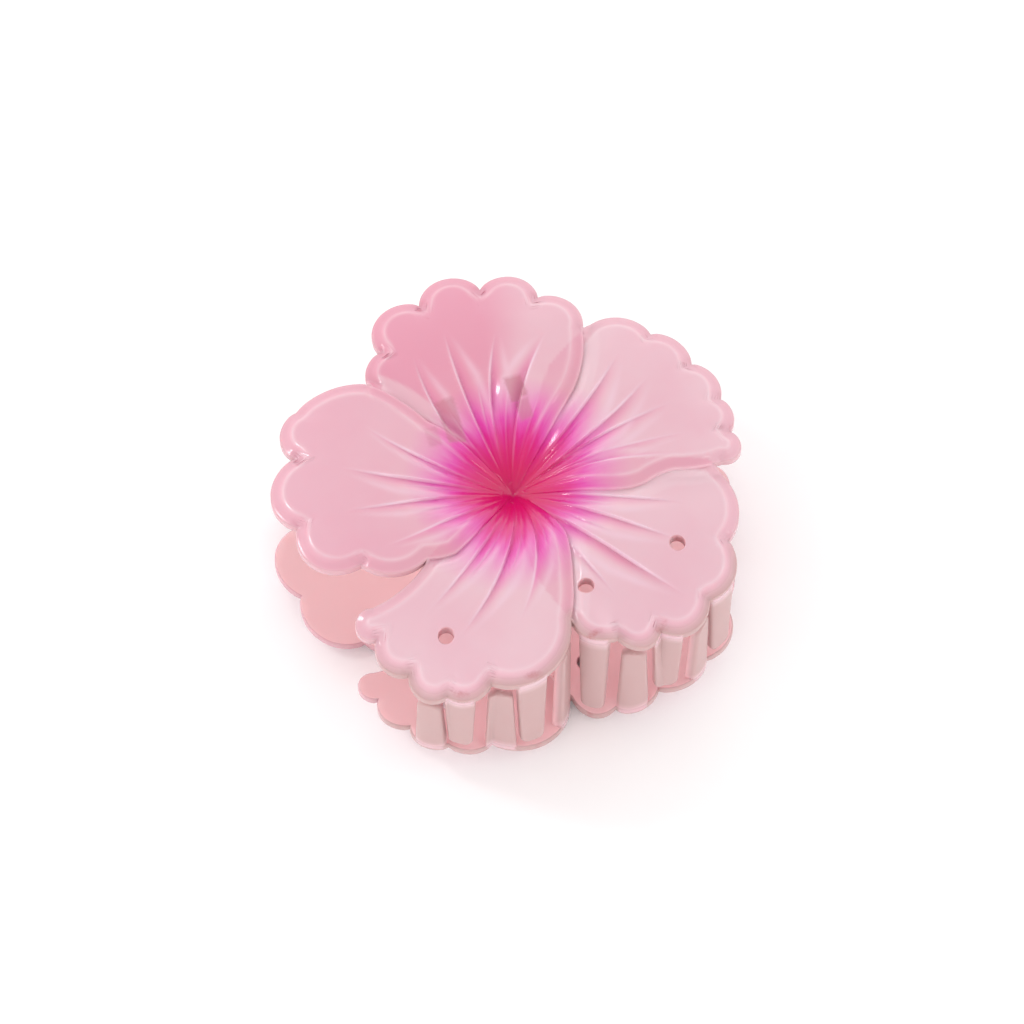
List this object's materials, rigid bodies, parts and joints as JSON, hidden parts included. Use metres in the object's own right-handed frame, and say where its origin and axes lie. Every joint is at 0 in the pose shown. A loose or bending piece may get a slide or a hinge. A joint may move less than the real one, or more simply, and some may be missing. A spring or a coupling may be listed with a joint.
{
  "type": "flower hair claw clip",
  "caption": "Five-petal flower hair claw clip: two moulded flower halves with interlocking teeth on a sprung hinge pin; squeezing the top petals opens it.",
  "frame": {"origin": "middle of the bounding box on the surface that the clip lies on", "axes": "+Z out of the front flower, away from the surface; +Y towards the top petal, which is the handle end; +X to the right seen from the front, along the hinge pin"},
  "size_m": [0.0816, 0.0782, 0.0362],
  "materials": {
    "front_plastic": "glossy translucent pink shading to magenta at the centre",
    "rear_plastic": "glossy translucent salmon pink",
    "pin_steel": "polished",
    "spring_steel": "drawn wire"
  },
  "bodies": {
    "rear_half": {"rear_claw": "rear_plastic", "hinge_pin": "pin_steel", "torsion_spring": "spring_steel"},
    "front_half": {"front_claw": "front_plastic"}
  },
  "joints": [
    {"name": "jaw_hinge", "type": "hinge", "parent": "rear_half", "child": "front_half", "pos_m": [0.00016, 0.01148, 0.0181], "axis": [-1, 0, 0], "range_deg": [0, 46], "stiffness_Nm_per_rad": 0.12, "springref_deg": -34.38, "deforming": ["torsion_spring"]}
  ]
}
